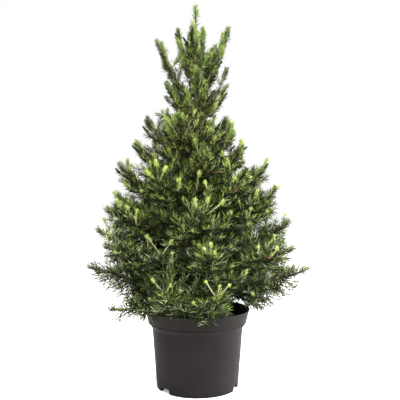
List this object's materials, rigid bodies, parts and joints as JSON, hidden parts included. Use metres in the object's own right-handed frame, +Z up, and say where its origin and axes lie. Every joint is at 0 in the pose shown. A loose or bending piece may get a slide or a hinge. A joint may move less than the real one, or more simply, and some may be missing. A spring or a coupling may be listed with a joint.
{
  "type": "potted alberta spruce",
  "caption": "Small cone-shaped spruce with dense short needles and pale new shoots, growing in a round tapered plastic nursery pot with a wide rim band.",
  "frame": {"origin": "centre of the pot's underside, on the surface that it stands on", "axes": "+Z up along the trunk, -Y towards the front, +X to the right seen from the front"},
  "size_m": [0.3954, 0.33, 0.694],
  "materials": {
    "pot_plastic": "matt anthracite moulded plastic",
    "potting_soil": "moist crumbly potting compost",
    "bark": "rough grey-brown bark",
    "needles": "fine green needles"
  },
  "bodies": {
    "root": {"pot": "pot_plastic", "soil": "potting_soil", "trunk": "bark", "needles_leader": "needles", "bough_lower_1": "bark", "bough_lower_2": "bark", "bough_lower_3": "bark", "bough_lower_4": "bark", "bough_lower_5": "bark", "bough_lower_6": "bark", "bough_lower_7": "bark", "bough_lowest_1": "bark", "needles_collar_1": "needles", "needles_collar_2": "needles", "needles_collar_3": "needles", "needles_collar_4": "needles", "needles_low_1": "needles", "needles_low_2": "needles", "needles_low_3": "needles", "needles_low_4": "needles", "needles_low_5": "needles", "needles_low_6": "needles", "needles_low_7": "needles", "needles_lower_1": "needles", "needles_lower_2": "needles", "needles_lower_3": "needles", "needles_lower_4": "needles", "needles_lower_5": "needles", "needles_lower_6": "needles", "needles_lower_7": "needles", "needles_lowest_1": "needles", "needles_middle_1": "needles", "needles_middle_2": "needles", "needles_middle_3": "needles", "needles_middle_4": "needles", "needles_middle_5": "needles", "needles_middle_6": "needles", "needles_shoulder_1": "needles", "needles_shoulder_2": "needles", "needles_shoulder_3": "needles", "needles_shoulder_4": "needles", "needles_shoulder_5": "needles", "needles_shoulder_6": "needles", "needles_spire_1": "needles", "needles_spire_2": "needles", "needles_spire_3": "needles", "needles_spire_4": "needles", "needles_spire_5": "needles", "needles_spire_6": "needles", "needles_upper_1": "needles", "needles_upper_2": "needles", "needles_upper_3": "needles", "needles_upper_4": "needles", "needles_upper_5": "needles", "needles_upper_6": "needles", "needles_waist_1": "needles", "needles_waist_2": "needles", "needles_waist_3": "needles", "needles_waist_4": "needles", "needles_waist_5": "needles"}
  },
  "joints": []
}
